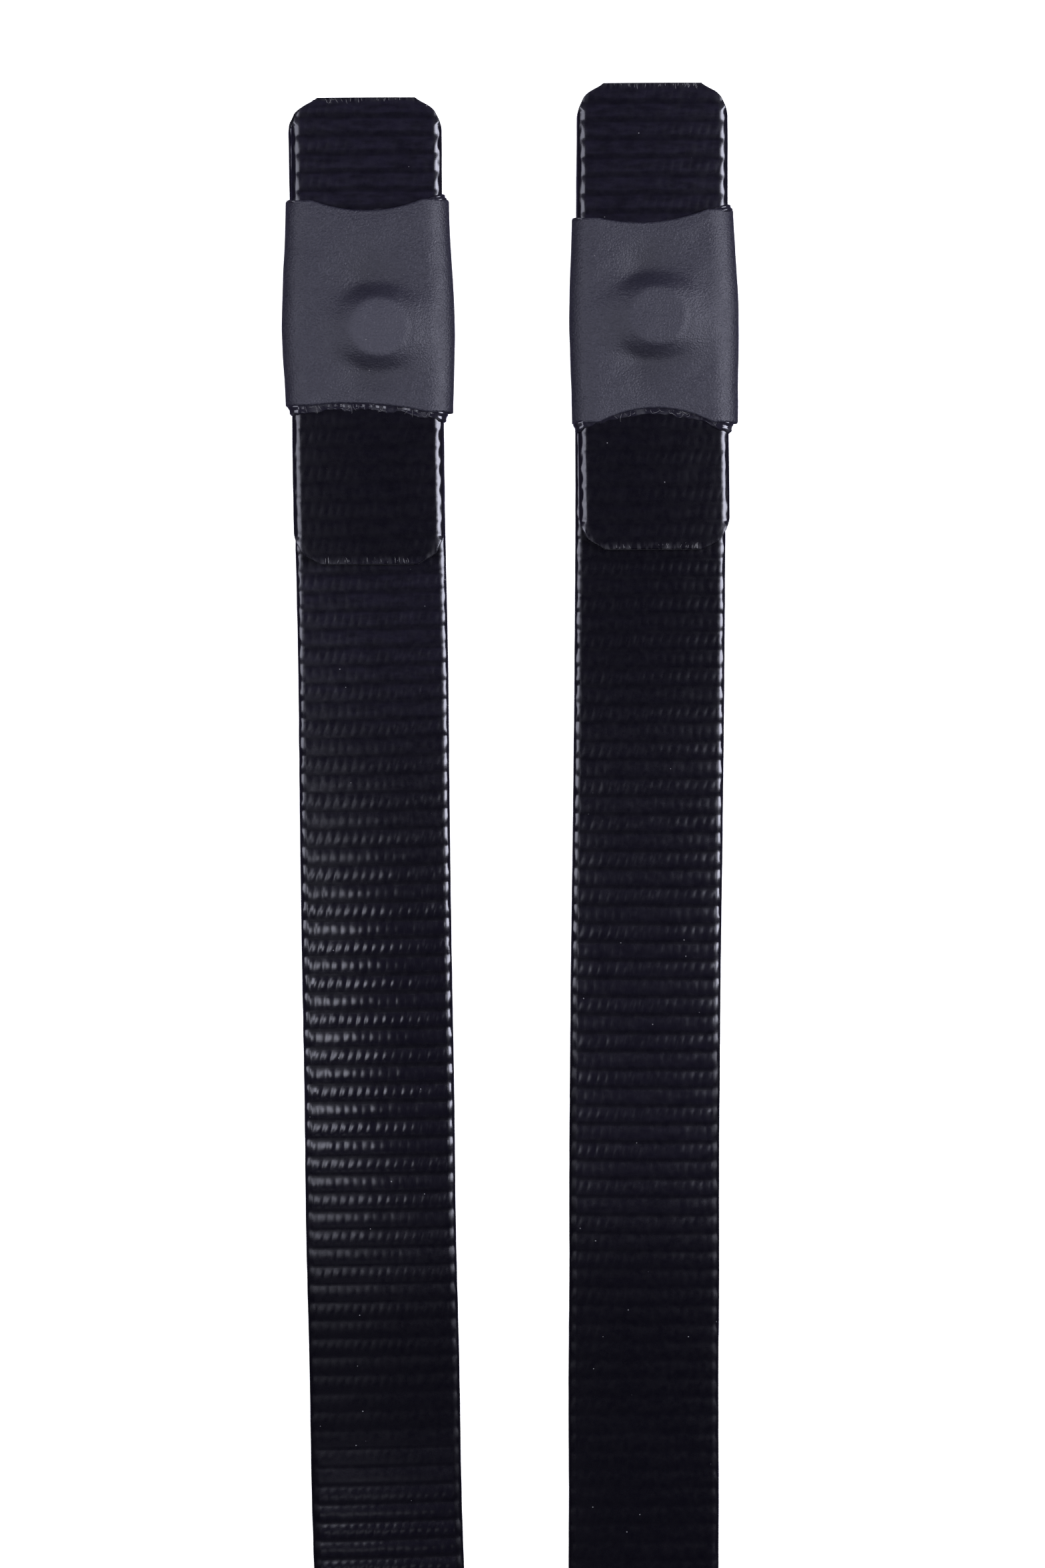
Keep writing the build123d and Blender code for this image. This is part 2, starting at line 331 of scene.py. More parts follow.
def section(down, length):
    """Loops across the strap for rows at those distances: v, w and the normals' angle."""
    wide = half_width(down, length)[:, None]
    nearest = np.minimum(down, length - down)[:, None]
    radius = CUT_RADIUS + (EDGE_RADIUS - CUT_RADIUS) * smooth((nearest - CLIP_DOWN + 0.9) / 1.2)
    top = np.linspace(-1, 1, TOP_COLUMNS + 1)[None, 1:-1]
    low = np.linspace(1, -1, LOW_COLUMNS + 1)[None, 1:-1]
    turn = np.linspace(math.pi / 2, -math.pi / 2, 2 * ARC_COLUMNS + 1)[None, :]
    high = THICK / 2 - radius
    arc_w = radius * np.sin(turn) + np.sign(np.round(np.sin(turn), 6)) * high
    arc_v = wide - radius + radius * np.cos(turn)
    level = THICK / 2 * np.ones_like(wide)
    v = np.hstack([top * (wide - radius), arc_v, low * (wide - radius), -arc_v[:, ::-1]])
    w = np.hstack([level + 0 * top, arc_w, -level + 0 * low, arc_w[:, ::-1]])
    flat_top = np.full(top.shape[1], math.pi / 2)
    flat_low = np.full(low.shape[1], -math.pi / 2)
    left = math.pi - turn[0, ::-1]
    angle = np.concatenate([flat_top, turn[0], flat_low, left])
    return v, w, angle[None, :]


def relief(down, v, angle, seed, amount, edge_amount):
    """How far the surface stands out along its own normal."""
    u = down[:, None] + 0 * v
    facing_up = np.abs(np.sin(angle)) + 0 * v
    shift = np.where(np.sin(angle) < 0, RIB * 0.5, 0.0)
    face = weave_height(u + shift, v, seed) * amount * smooth((facing_up - 0.75) / 0.25)
    wave = EDGE_WAVE * (wobble(u, 3 * v, seed + 8, 3.4) + 0.3 * wobble(u, 3 * v, seed + 9, 1.5))
    beads = (edge_height(u, seed) * edge_amount + wave) * smooth((facing_up - 0.1) / 0.5)
    edge = beads * smooth((0.98 - facing_up) / 0.4)
    small = 0.012 * wobble(u, v, seed + 5, 5.0)
    return face + edge + small


def webbing_piece(
    name, spine, rows, seed, materials, finish, weave=1.0, edge=1.0, cut=(False, False),
    ease=0.0, matte_edge=MATTE_EDGE,
):
    """A closed length of coated webbing; cut says which of its two ends is a real cut.

    The other ends run a little on under the next piece, so no seam shows. weave and edge are
    shares of the ribs' and the beads' height, and ease lowers the top near the piece's sides.
    """
    seams = (rows[0], rows[-1])
    if not cut[0]:
        rows = np.insert(rows, 0, rows[0] - SEAM_TUCK)
    if not cut[1]:
        rows = np.append(rows, rows[-1] + SEAM_TUCK)
    v, w, angle = section(rows, spine.length)
    nearest = np.minimum(rows, spine.length - rows)[:, None]
    facing_up = np.sin(angle)
    place, across, up = spine.at(rows)
    share = {
        kind: np.interp(place[:, 1], *np.array(stops).T)[:, None] for kind, stops in finish.items()
    }
    out = relief(rows, v, angle, seed, weave * share["ribs"], edge) * smooth(nearest + 0.25)
    past_seam = np.maximum(seams[0] - rows, 0) + np.maximum(rows - seams[1], 0)
    out = out - SEAM_DROP * past_seam[:, None]
    crown = CROWN * (0.5 - (v / (WIDTH / 2)) ** 2) * smooth(facing_up)
    sway = SWAY * wobble(rows, 0 * rows, seed + 6, 34.0)[:, None]
    v_out = v + out * np.cos(angle) + sway
    near_side = smooth((np.abs(v) - EASE_FROM) / (WIDTH / 2 - EASE_FROM))
    w_out = w + out * facing_up + crown - ease * near_side * smooth(facing_up)
    points = place[:, None] + across[:, None] * v_out[..., None] + up[:, None] * w_out[..., None]
    count, columns = v.shape
    points = points.reshape(-1, 3)
    faces = tube_faces(count, columns)
    wide = half_width(rows, spine.length)[:, None]
    to_clip = np.where(nearest < CLIP_DOWN, wide - np.abs(v), CLIP_DOWN)
    dusty = smooth(1 - np.minimum(nearest + 0 * v, to_clip) / DUST_REACH)
    on_face = smooth((facing_up - 0.9) / 0.1) * smooth((matte_edge - np.abs(v)) / MATTE_BLEND)
    shoulder = smooth((np.abs(v) - SHOULDER_FROM) / SHOULDER_BLEND)
    shoulder = shoulder * smooth((facing_up - 0.93) / 0.04) * (ease == 0)
    rim = smooth((np.abs(v) - RIM_FROM) / RIM_BLEND) * (1 - share["edges"])
    from_crest = 2 * np.abs(rows / RIB - np.floor(rows / RIB) - 0.5)
    valley = smooth((from_crest - VALLEY_FROM) / VALLEY_BLEND)[:, None]
    dull = np.maximum(on_face * np.maximum(1 - share["polish"], valley), shoulder)
    dull = np.maximum(dull, rim).ravel()
    # Painted sheen: the upper face gets a lighter tint from the finish table's second share, kept partly off the
    # grooves.
    scuffs_and_painted_sheen_share = (on_face * share["scuffs_and_painted_sheen"] * (1 - VALLEY_CLEAR * valley)).ravel()
    clipped = nearest[:-1] < CLIP_DOWN - 0.3
    side = (np.abs(w[:-1]) < THICK / 2 - COATING) & clipped
    indices = np.where(side, 1, 0).ravel()
    uvs = np.stack([v, rows[:, None] + 0 * v], -1).reshape(-1, 2)

    faces = faces.tolist()
    indices = indices.tolist()
    smooth_faces = [True] * len(faces)
    ends = ((0, cut[0], -1), (count - 1, cut[1], 1))
    for row, real_cut, facing in ends:
        loop = list(range(row * columns, (row + 1) * columns))
        if not real_cut:
            faces.append(loop if facing > 0 else loop[::-1])
            indices.append(0)
            smooth_faces.append(False)
            continue
        rings = end_rings(points[loop], place[row], across[row], up[row], facing, seed)
        previous = loop
        for ring_number, ring in enumerate(rings):
            first = len(points)
            points = np.vstack([points, ring])
            uvs = np.vstack([uvs, uvs[loop]])
            dusty = np.append(dusty, np.ones(columns))
            dull = np.append(dull, np.ones(columns))
            scuffs_and_painted_sheen_share = np.append(scuffs_and_painted_sheen_share, np.ones(columns))
            current = list(range(first, first + columns))
            for k in range(columns):
                after = (k + 1) % columns
                quad = [previous[k], current[k], current[after], previous[after]]
                faces.append(quad if facing > 0 else quad[::-1])
                indices.append(0 if ring_number == 0 else 1)
                smooth_faces.append(False)
            previous = current
        faces.append(previous if facing > 0 else previous[::-1])
        indices.append(1)
        smooth_faces.append(False)
    piece = finish_mesh(name, points, faces, materials, smooth_faces, indices, uvs)
    add_attribute(piece, "dusty", dusty)
    add_attribute(piece, "dull", dull)
    add_attribute(piece, "scuffs_and_painted_sheen_share", scuffs_and_painted_sheen_share)
    return piece


def end_rings(loop, place, across, up, facing, seed):
    """The cut face: a rim of coating, then the webbing core, a little rough."""
    v = (loop - place) @ across
    w = (loop - place) @ up
    along = np.cross(across, up) * facing
    random = np.random.RandomState(seed + 40)
    rings = []
    for inset, depth, rough in ((COATING, 0.03, 0.0), (COATING + 0.12, -0.1, 0.05)):
        reach_v = np.maximum(np.abs(v).max() - inset, 0.1) / np.abs(v).max()
        reach_w = (THICK / 2 - inset) / (THICK / 2)
        ring = place + np.outer(v * reach_v, across) + np.outer(w * reach_w, up)
        offset = depth + rough * random.uniform(-1, 1, len(v))
        rings.append(ring + np.outer(offset, along))
    return rings


def make_strap(side, seed, looks):
    """The long strap in three pieces, one about each hinge; seams lie between ribs."""
    spine = strap_spine(side)
    names = [f"{side}_bend_{number}" for number in (1, 2, 3)]
    downs = [spine.nearest(joint_point(name)) for name in names]
    tab_end = (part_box(f"{side}_strap_core_1")[1].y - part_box(f"{side}_tab_flap_core")[0].y) / MM
    seams = [round((a + b) / 2 / RIB) * RIB for a, b in zip(downs, downs[1:])]
    bodies = [f"{side}_doubled_end"] + [f"{side}_strap_link_{number}" for number in (2, 3, 4)]
    edges = [0.0, *seams, spine.length]
    for number in range(3):
        start, end = edges[number], edges[number + 1]
        first_cut, last_cut = number == 0, number == 2
        rows = rib_rows(start, end)
        if first_cut:
            hidden = (CLIP_DOWN + 2.0, tab_end - CLIP_DOWN - 3.0)
            seen = rows[(rows <= hidden[0]) | (rows >= hidden[1])]
            rows = np.unique(np.concatenate([seen, steps_between(*hidden, COARSE_STEP)]))
        piece = webbing_piece(
            f"{side}_strap_{number + 1}", spine, rows, seed, looks,
            FINISH[side], cut=(first_cut, last_cut),
        )
        nodes = [number + 1, number + 2]
        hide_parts(*[f"{side}_strap_{kind}_{n}" for n in nodes for kind in ("core", "coating")])
        bend_piece(piece, bodies[number], bodies[number + 1], spine, downs[number], *STRAP_BEND)


def bend_piece(piece, near_body, far_body, spine, down, before, after):
    place, _, _ = spine.at(np.array([down - before, down + after]))
    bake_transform(piece)


def make_tab(side, seed, looks):
    """The tab in two pieces that meet out of sight under the sleeve."""
    spine = tab_spine(side)
    place = spine.place
    lip = spine.samples[np.abs(place[:, 1] - joint_point(f"{side}_lip_lift").y).argmin()]
    flap = spine.samples[np.abs(place[:, 1] - joint_point(f"{side}_flap_lift").y).argmin()]
    seam = round((lip + flap) / 2 / RIB) * RIB
    upper_rows = np.union1d(rib_rows(0, lip + 6), steps_between(lip + 6, seam, COARSE_STEP))
    lower_rows = np.union1d(
        steps_between(seam, flap - 6, COARSE_STEP), rib_rows(flap - 6, spine.length)
    )
    end_body = f"{side}_doubled_end"
    finish = {**FINISH[side], "polish": NO_POLISH}
    settings = {"weave": TAB_WEAVE, "edge": TAB_EDGE, "ease": TAB_EASE, "matte_edge": TAB_MATTE_EDGE}
    upper = webbing_piece(
        f"{side}_tab_upper", spine, upper_rows, seed, looks, finish, cut=(True, False), **settings
    )
    lower = webbing_piece(
        f"{side}_tab_lower", spine, lower_rows, seed, looks, finish, cut=(False, True), **settings
    )
    for piece, nodes in ((upper, ("tab", "tab_lip")), (lower, ("tab", "tab_flap"))):
        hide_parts(*[f"{side}_{part}_{kind}" for part in nodes for kind in ("core", "coating")])
    bend_piece(upper, end_body, f"{side}_tab_lip", spine, lip, -1.0, -9.0)
    bend_piece(lower, end_body, f"{side}_tab_flap", spine, flap, 1.0, 9.0)
    return spine


# ---------------------------------------------------------------- sleeve and glue

SLEEVE_HEIGHT = 6.8
SLEEVE_WALL = 0.7
SHOULDER_ACROSS = (4.4, 2.2)
SHOULDER_UP = (2.9, 1.9)
SLEEVE_ROW = 0.26
SLEEVE_TOP_COLUMNS = 120
SLEEVE_LOW_COLUMNS = 50
SLEEVE_ARC_COLUMNS = 12
RIM_ROUND = 0.16

HEAD_RADIUS = 5.0
HEAD_LIFT = 1.35
HEAD_EDGE = 0.75
TENT_RADIUS = 6.2
TENT_SHARE = 0.87
TENT_REACH = 12.0
TENT_STEP = 0.2
TENT_SOFT_DOWN = 1.0
TENT_FADE_DOWN = 2.8
TENT_SOFT_ACROSS = 0.7
# The tube is drawn in above and below the head. A depth of 0.62 lets the tab through it.
DIP_DEPTH = 0.38
DIP_FROM_HEAD = 2.8
DIP_RUN_OUT = 2.0
DIP_SIZE = (2.3, 4.4)
DIP_ASIDE = 2.3

# The doubled webbing's outline, which the glue lies on
STACK_LOW = 0.9
STACK_HIGH = 5.9
STACK_RADIUS = 1.25
STACK_GAP = 0.05
STACK_TOP_COLUMNS = 150
STACK_SIDE_COLUMNS = 26
STACK_LOW_COLUMNS = 60

# The glue's section from under the sleeve to its rim and back: a share of its reach, or mm
# where that isn't above 0, then a share of its thickness, then the rim's extra height in mm.
GLUE_PROFILE = (
    (-0.5, 0.3, 0.0), (0.0, 0.85, 0.0), (0.2, 0.8, 0.0), (0.42, 0.52, 0.02),
    (0.62, 0.42, 0.05), (0.78, 0.4, 0.1), (0.9, 0.26, 0.08), (1.0, -0.05, -0.03),
    (0.85, -0.4, -0.2), (-0.3, -0.4, -0.2),
)

# Each sleeve against its tab: where its two ends lie (left, middle, right), how far its
# sides stand out (at its top, over the post, at its low end), the post's place, and how
# much paler the tube is over the post's head.
SLEEVES = {
    "left": {
        "top": (17.0, 18.75, 16.9),
        "low": (51.0, 50.8, 52.2),
        "left": (13.5, 14.25, 13.65),
        "right": (13.65, 14.5, 14.2),
        "post": (1.9, 38.1),
        "head_paling": 1.0,
    },
    "right": {
        "top": (22.35, 23.1, 21.0),
        "low": (56.3, 53.9, 56.3),
        "left": (13.4, 13.9, 13.5),
        "right": (13.5, 14.3, 14.1),
        "post": (0.6, 38.6),
        "head_paling": 0.2,
    },
}


def through(values, t):
    """A smooth curve through three values at t = -1, 0 and 1."""
    first, middle, last = values
    return middle + (last - first) / 2 * t + ((first + last) / 2 - middle) * t * t


def side_reach(values, down, sleeve):
    top, low = min(sleeve["top"]), max(sleeve["low"])
    post = sleeve["post"][1]
    above = (post - down) / (post - top)
    below = (down - post) / (low - post)
    first, middle, last = values
    edge = np.where(down < post, middle + (first - middle) * smooth(above), middle)
    return np.where(down < post, edge, middle + (last - middle) * smooth(below))


def soften(field, sigma_rows, sigma_columns):
    for axis, sigma in ((0, sigma_rows), (1, sigma_columns)):
        reach = int(3 * sigma) + 1
        kernel = np.exp(-0.5 * (np.arange(-reach, reach + 1) / sigma) ** 2)
        kernel /= kernel.sum()
        pad = [(0, 0), (0, 0)]
        pad[axis] = (reach, reach)
        padded = np.pad(field, pad, mode="edge")
        field = np.apply_along_axis(lambda line: np.convolve(line, kernel, "valid"), axis, padded)
    return field


def hollow(down, across):
    """How far the tube is drawn in above and below the post's head, 0 to 1; it also sets the painted shade there.
    """
    from_head = (np.hypot(down, across) - HEAD_RADIUS - DIP_FROM_HEAD) / DIP_SIZE[0]
    from_head = np.where(from_head > 0, from_head / DIP_RUN_OUT, from_head)
    return np.exp(-from_head ** 2 - ((across + DIP_ASIDE) / DIP_SIZE[1]) ** 2)


def tent_field():
    """Height of a sheet pulled sideways over the post's flat head, on a square grid."""
    reach = 20.0
    axis = np.arange(-reach, reach + TENT_STEP / 2, TENT_STEP)
    down, across = np.meshgrid(axis, axis, indexing="ij")
    narrowing = np.clip(1 - (across / TENT_REACH) ** 2, 0, 1) ** 0.75
    chord = np.sqrt(np.maximum(TENT_RADIUS ** 2 - down ** 2, 0))
    flank = 1 - np.maximum(np.abs(across) - chord, 0) / (TENT_REACH - chord)
    under = np.abs(down) < TENT_RADIUS * narrowing
    lifted = np.where(under, TENT_SHARE * np.clip(flank, 0, 1) ** 1.3, 0.0)
    near = soften(lifted, TENT_SOFT_DOWN / TENT_STEP, TENT_SOFT_ACROSS / TENT_STEP)
    far = soften(lifted, TENT_FADE_DOWN / TENT_STEP, TENT_SOFT_ACROSS / TENT_STEP)
    soft = near + (far - near) * smooth((np.abs(across) - 2.5) / 6.0)
    head = smooth((HEAD_RADIUS + HEAD_EDGE - np.hypot(down, across)) / (2 * HEAD_EDGE))
    return axis, soft + (1 - soft) * head - DIP_DEPTH * hollow(down, across)


TENT_AXIS, TENT = tent_field()


def tent(down, across):
    """The tent's height in mm at any offsets from the post, read bilinearly off the grid."""
    x = np.clip((down - TENT_AXIS[0]) / TENT_STEP, 0, len(TENT_AXIS) - 1.001)
    y = np.clip((across - TENT_AXIS[0]) / TENT_STEP, 0, len(TENT_AXIS) - 1.001)
    i, j = x.astype(int), y.astype(int)
    fx, fy = x - i, y - j
    low = TENT[i, j] * (1 - fy) + TENT[i, j + 1] * fy
    high = TENT[i + 1, j] * (1 - fy) + TENT[i + 1, j + 1] * fy
    return HEAD_LIFT * (low * (1 - fx) + high * fx)


def sleeve_surface(sleeve, share, inset, beyond, seed):
    """Loops round the sleeve. share runs from its top end, 0, to its low end, 1."""
    share = share[:, None]
    top_turn = np.linspace(math.pi, math.pi / 2, SLEEVE_ARC_COLUMNS + 1)[:-1]
    right_turn = np.linspace(math.pi / 2, 0, SLEEVE_ARC_COLUMNS + 1)
    low_turn = np.linspace(0, -math.pi / 2, SLEEVE_ARC_COLUMNS + 1)[1:]
    left_turn = np.linspace(-math.pi / 2, -math.pi, SLEEVE_ARC_COLUMNS + 1)[:-1]
    flat_top = np.linspace(-1, 1, SLEEVE_TOP_COLUMNS + 1)[1:-1]
    flat_low = np.linspace(1, -1, SLEEVE_LOW_COLUMNS + 1)[1:-1]
    parts = [
        (-1 + 0 * top_turn, top_turn), (flat_top, 0 * flat_top + math.pi / 2),
        (1 + 0 * right_turn, right_turn), (1 + 0 * low_turn, low_turn),
        (flat_low, 0 * flat_low - math.pi / 2), (-1 + 0 * left_turn, left_turn),
    ]
    where = np.concatenate([place for place, _ in parts])[None]
    angle = np.concatenate([turn for _, turn in parts])[None]
    top_end = through(sleeve["top"], where) - beyond
    low_end = through(sleeve["low"], where) + beyond
    down = top_end + (low_end - top_end) * share
    left = side_reach(sleeve["left"], down, sleeve)
    right = side_reach(sleeve["right"], down, sleeve)
    upper = np.sin(angle) > 0
    wide = np.where(upper, *SHOULDER_ACROSS)
    tall = np.where(upper, *SHOULDER_UP)
    middle, half = (right - left) / 2, (right + left) / 2
    across = middle + where * (half - wide) + (wide - inset) * np.cos(angle)
    level = np.where(upper, SLEEVE_HEIGHT - tall, tall)
    up = level + (tall - inset) * np.sin(angle)
    post_across, post_down = sleeve["post"]
    lift = tent(down - post_down, across - post_across) * smooth(np.sin(angle) * 1.4)
    ripple = 0.035 * wobble(down, across, seed, 10.0) + 0.012 * wobble(down, across, seed + 1, 3.5)
    press = smooth((np.abs(share - 0.5) - 0.44) / 0.06) * 0.1 * (1 - np.abs(where) ** 6)
    out = ripple * smooth(np.abs(np.sin(angle)) + 0.5) - press * smooth(np.sin(angle))
    across = across + out * np.cos(angle)
    up = up + out * np.sin(angle) + lift
    up = np.where(upper, up, np.maximum(up, 0.02 + inset * 0.9))
    return down, across, up


def on_spine(spine, down, across, height):
    """Row-frame points for distances down and across, at heights above the surface."""
    place, sideways, _ = spine.at(down.ravel())
    points = place + sideways * across.ravel()[:, None]
    points[:, 2] = height.ravel()
    return points


def make_sleeve(side, spine, seed, look):
    sleeve = SLEEVES[side]
    length = max(sleeve["low"]) - min(sleeve["top"])
    shares = np.linspace(0, 1, int(length / SLEEVE_ROW))
    ends = np.array([0.0, 1.0])
    outer = sleeve_surface(sleeve, shares, 0.0, -RIM_ROUND, seed)
    rim = sleeve_surface(sleeve, ends, RIM_ROUND, 0.0, seed)
    inner_rim = sleeve_surface(sleeve, ends, SLEEVE_WALL - RIM_ROUND, 0.0, seed)
    inner = sleeve_surface(sleeve, shares[::-4], SLEEVE_WALL, -RIM_ROUND, seed)
    blocks = []
    for k in range(3):
        blocks.append(np.vstack(
            [outer[k], rim[k][1:], inner_rim[k][1:], inner[k], inner_rim[k][:1], rim[k][:1]]
        ))
    rows, columns = blocks[0].shape
    points = on_spine(spine, *blocks)
    faces = tube_faces(rows, columns).tolist()
    last = (rows - 1) * columns
    for k in range(columns):
        after = (k + 1) % columns
        faces.append([last + k, k, after, last + after])
    piece = finish_mesh(f"{side}_heat_shrink", points, faces, [look])
    post_across, post_down = sleeve["post"]
    from_post = np.hypot(blocks[0] - post_down, blocks[1] - post_across)
    # The colour is paler over the post's head, by each sleeve's share.
    head_paling = sleeve["head_paling"] * smooth((HEAD_RADIUS + 0.8 - from_post) / 1.6)
    add_attribute(piece, "paler_over_head", head_paling)
    # Painted shade: the colour darkens in the hollows above and below the head, on the upper side.
    painted_hollow_shade = hollow(blocks[0] - post_down, blocks[1] - post_across) * (blocks[2] > SLEEVE_HEIGHT / 2)
    add_attribute(piece, "painted_hollow_shade", painted_hollow_shade)
    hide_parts(f"{side}_heat_shrink_sleeve")
    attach(piece, f"{side}_doubled_end")


def stack_loop():
    """The doubled webbing's outline under the glue: places across, heights and normals."""
    radius = STACK_RADIUS
    wide = WIDTH / 2 + STACK_GAP
    middle, half = (STACK_HIGH + STACK_LOW) / 2, (STACK_HIGH - STACK_LOW) / 2
    top = np.linspace(-1, 1, STACK_TOP_COLUMNS)
    low = np.linspace(1, -1, STACK_LOW_COLUMNS)
    turn = np.linspace(math.pi / 2, -math.pi / 2, STACK_SIDE_COLUMNS + 2)[1:-1]
    side_v = wide - radius + radius * np.cos(turn)
    side_w = middle + (half - radius) * np.sign(np.round(np.sin(turn), 6)) + radius * np.sin(turn)
    v = np.concatenate([top * (wide - radius), side_v, low * (wide - radius), -side_v[::-1]])
    w = np.concatenate([0 * top + STACK_HIGH, side_w, 0 * low + STACK_LOW, side_w[::-1]])
    angle = np.concatenate(
        [0 * top + math.pi / 2, turn, 0 * low - math.pi / 2, math.pi - turn[::-1]]
    )
    return v, w, angle


def make_glue(side, spine, end, seed, look):
    """Glue squeezed out at one end of the sleeve: a glossy film with a raised rim."""
    sleeve = SLEEVES[side]
    v, w, angle = stack_loop()
    facing = 1 if end == "low" else -1
    edge = through(sleeve[end], np.clip(v / (WIDTH / 2), -1, 1))
    sideways = smooth(1.15 - np.abs(np.sin(angle)))
    rough = wobble(v, w, seed, 5.0) * 0.22 + wobble(v, w, seed + 1, 1.6) * 0.14
    if end == "low":
        reach = 1.25 + rough + 0.45 * (np.abs(v) / 12.5) ** 4
    else:
        reach = 0.16 + 0.75 * smooth((v - 7.5) / 4) + 0.3 * np.maximum(rough, 0)
    reach = np.maximum(reach, 0.1)
    near = 0.42 + 0.5 * sideways + 0.08 * rough
    downs, acrosses, ups = [], [], []
    for share, lift, rim in GLUE_PROFILE:
        step = reach * share if share > 0 else 0 * reach + share
        out = near * lift + rim * (1 + rough)
        downs.append(edge + facing * step)
        acrosses.append(v + out * np.cos(angle))
        ups.append(np.maximum(w + out * np.sin(angle), 0.05))
    downs, acrosses, ups = (np.array(rows) for rows in (downs, acrosses, ups))
    rows, columns = downs.shape
    points = on_spine(spine, downs, acrosses, ups)
    faces = tube_faces(rows, columns).tolist()
    last = (rows - 1) * columns
    for k in range(columns):
        after = (k + 1) % columns
        faces.append([last + k, k, after, last + after])
    if facing < 0:
        faces = [face[::-1] for face in faces]
    piece = finish_mesh(f"{side}_glue_{end}", points, faces, [look])
    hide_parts(f"{side}_hot_melt_glue")
    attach(piece, f"{side}_doubled_end")


# ---------------------------------------------------------------- lint

THREAD_SIDES = 4
LINT_RADIUS = 0.022
YARN_RADIUS = 0.03


def thread_tube(points, radius, first):
    """A thin closed tube through the points, tapering at both ends."""
    points = np.array(points)
    along = np.gradient(points, axis=0)
    along /= np.linalg.norm(along, axis=1)[:, None] + 1e-9
    sideways = np.cross(along, (0.1, 0.2, 1.0))
    sideways /= np.linalg.norm(sideways, axis=1)[:, None] + 1e-9
    other = np.cross(along, sideways)
    taper = np.sqrt(np.clip(np.sin(np.linspace(0.12, math.pi - 0.12, len(points))), 0, 1))
    rings = []
    for k in range(THREAD_SIDES):
        turn = 2 * math.pi * k / THREAD_SIDES
        offset = (sideways * math.cos(turn) + other * math.sin(turn)) * (radius * taper)[:, None]
        rings.append(points + offset)
    vertices = np.stack(rings, 1).reshape(-1, 3)
    faces = (tube_faces(len(points), THREAD_SIDES) + first).tolist()
    start = [first + k for k in range(THREAD_SIDES)]
    end = [first + (len(points) - 1) * THREAD_SIDES + k for k in range(THREAD_SIDES)]
    return vertices, [*faces, start, end[::-1]]


def curl(random, start, heading, length, bend, segments=7):
    """A thread's line in (down, across, height) from start, curling as it goes."""
    points = [np.array(start, float)]
    turning = random.uniform(-bend, bend)
    for _ in range(segments):
        heading += turning + random.uniform(-bend, bend) * 0.5
        step = length / segments
        rise = random.uniform(-0.3, 0.3) * step * 0.4
        points.append(points[-1] + (step * math.cos(heading), step * math.sin(heading), rise))
    return np.array(points)


def make_threads(name, body, spine, lines, radius, look):
    vertices, faces = [], []
    for line in lines:
        line = on_spine(spine, line[:, 0], line[:, 1], line[:, 2])
        first = sum(len(block) for block in vertices)
        tube, tube_quads = thread_tube(line, radius, first)
        vertices.append(tube)
        faces += tube_quads
    piece = finish_mesh(name, np.vstack(vertices), faces, [look])
    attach(piece, body)


def make_lint(side, spine, seed, look):
    """Fibres caught in the low glue edge and a few on the sleeve."""
    random = np.random.RandomState(seed)
    sleeve = SLEEVES[side]
    lines = []
    for _ in range(34):
        v = random.uniform(-11.0, 11.5)
        edge = through(sleeve["low"], v / 12.5)
        start = (edge + random.uniform(0.05, 0.6), v, STACK_HIGH + random.uniform(0.3, 0.5))
        lines.append(curl(random, start, random.uniform(-1.4, 1.4), random.uniform(0.4, 1.5), 0.5))
    for _ in range(7):
        start = (random.uniform(24, 48), random.choice([13.6, -13.4]), random.uniform(4.2, 5.2))
        lines.append(curl(random, start, random.uniform(-0.7, 0.7), random.uniform(0.7, 1.8), 0.25))
    body = f"{side}_doubled_end"
    make_threads(f"{side}_lint", body, spine, lines, LINT_RADIUS, look)


def make_fuzz(side, spine, end, count, seed, look):
    """Ends of yarn standing along a cut edge."""
    random = np.random.RandomState(seed)
    facing = 1 if end == "upper" else -1
    edge = 0.0 if end == "upper" else spine.length
    top = STACK_HIGH + CROWN * 0.4
    lines = []
    for _ in range(count):
        v = random.uniform(-7.4, 7.4)
        start = (edge + facing * random.uniform(0.0, 0.25), v, top + random.uniform(-0.12, 0.05))
        heading = random.uniform(-0.25, 0.25) + (0 if facing > 0 else math.pi)
        lines.append(curl(random, start, heading, random.uniform(0.25, 1.0), 0.12, segments=4))
    body = f"{side}_tab_lip" if end == "upper" else f"{side}_tab_flap"
    make_threads(
        f"{side}_yarn_ends_{end}", body, spine, lines, YARN_RADIUS, look
    )


# ---------------------------------------------------------------- materials

def new_material(name):
    material = bpy.data.materials.new(name)
    material.use_nodes = True
    nodes = material.node_tree.nodes
    return material, nodes, material.node_tree.links, nodes["Principled BSDF"]


def node(nodes, kind, **values):
    made = nodes.new(kind)
    for key, value in values.items():
        setattr(made, key, value)
    return made


def noise(nodes, links, vector, scale, detail=2.0, stretch=None):
    """Noise over the given coordinates, in features of about 1/scale metres."""
    texture = nodes.new("ShaderNodeTexNoise")
    texture.inputs["Scale"].default_value = scale
    texture.inputs["Detail"].default_value = detail
    if stretch is not None:
        mapping = nodes.new("ShaderNodeMapping")
        mapping.inputs["Scale"].default_value = stretch
        links.new(vector, mapping.inputs["Vector"])
        vector = mapping.outputs["Vector"]
    links.new(vector, texture.inputs["Vector"])
    return texture.outputs["Fac"]


def remap(nodes, links, value, low, high, to_low, to_high):
    change = nodes.new("ShaderNodeMapRange")
    names = ("From Min", "From Max", "To Min", "To Max")
    for name, number in zip(names, (low, high, to_low, to_high)):
        change.inputs[name].default_value = number
    links.new(value, change.inputs["Value"])
    return change.outputs["Result"]


def bump(nodes, links, height, distance_mm, strength, before=None):
    made = nodes.new("ShaderNodeBump")
    made.inputs["Distance"].default_value = distance_mm * MM
    made.inputs["Strength"].default_value = strength
    links.new(height, made.inputs["Height"])
    if before is not None:
        links.new(before, made.inputs["Normal"])
    return made.outputs["Normal"]


